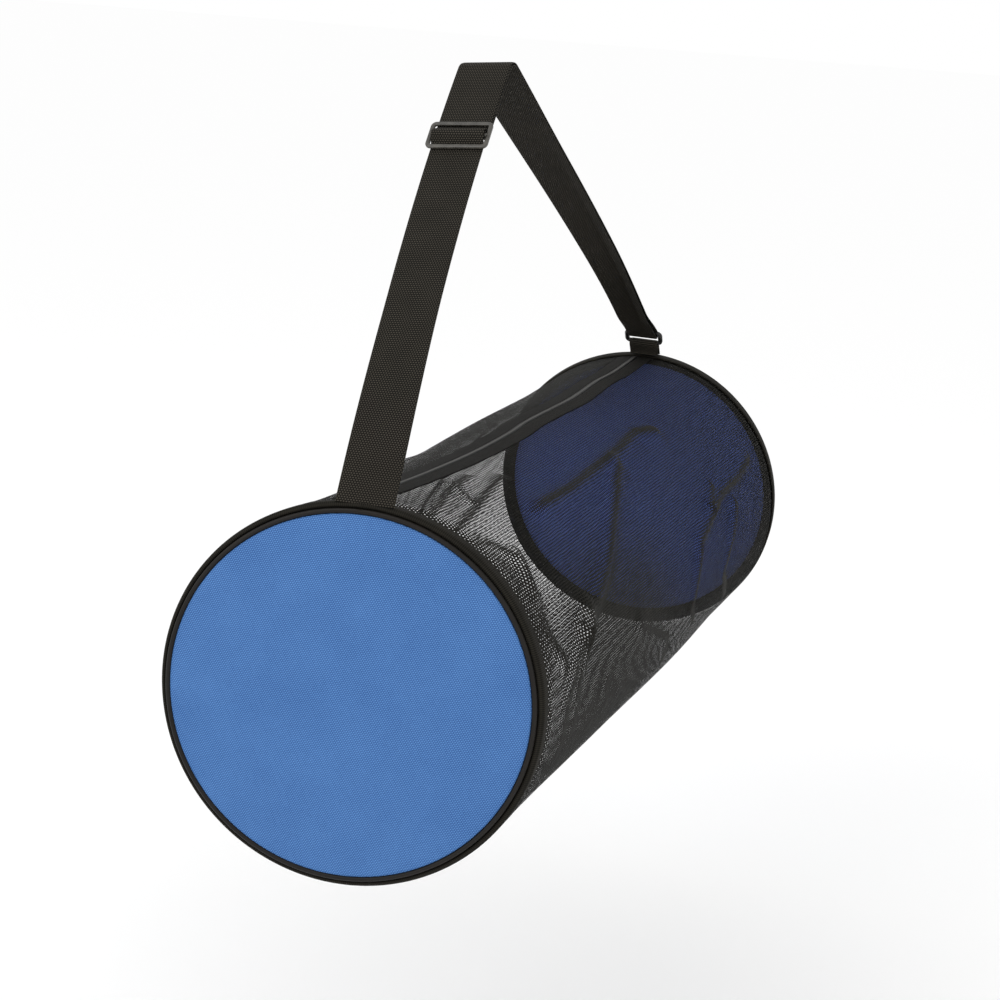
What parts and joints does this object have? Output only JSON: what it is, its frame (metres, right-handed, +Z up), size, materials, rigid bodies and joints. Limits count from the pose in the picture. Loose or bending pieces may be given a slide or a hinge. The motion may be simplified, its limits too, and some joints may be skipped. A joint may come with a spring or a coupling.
{
  "type": "water polo cap bag",
  "caption": "Long net cylinder bag with round blue cloth ends, a zip along the top and an adjustable shoulder strap, shown hanging by its strap.",
  "frame": {"origin": "inside of the bend at the top of the shoulder strap, where the bag hangs", "axes": "+Y from the front panel to the rear panel, +Z up, +X to the right seen from the front"},
  "size_m": [0.2683, 0.6375, 0.5229],
  "materials": {
    "panel_cloth": "plain woven polyester",
    "piping": "satin covered cord",
    "rim_band": "ribbed tape",
    "net": "open knitted net",
    "zip_tape": "woven tape",
    "zip_coil": "nylon coil",
    "webbing": "ribbed webbing",
    "slider_plastic": "satin moulded",
    "hardware": "satin moulded"
  },
  "bodies": {
    "root": {"front_panel": "panel_cloth", "rear_panel": "panel_cloth", "front_piping": "piping", "rear_piping": "piping", "front_rim_band": "rim_band", "rear_rim_band": "rim_band", "net_wall": "net", "zip_tape_left": "zip_tape", "zip_tape_right": "zip_tape", "zip_coil": "zip_coil", "zip_slider": "hardware", "shoulder_strap": "webbing", "strap_slider": "slider_plastic", "rear_ring": "hardware", "rear_tab": "webbing"}
  },
  "joints": []
}
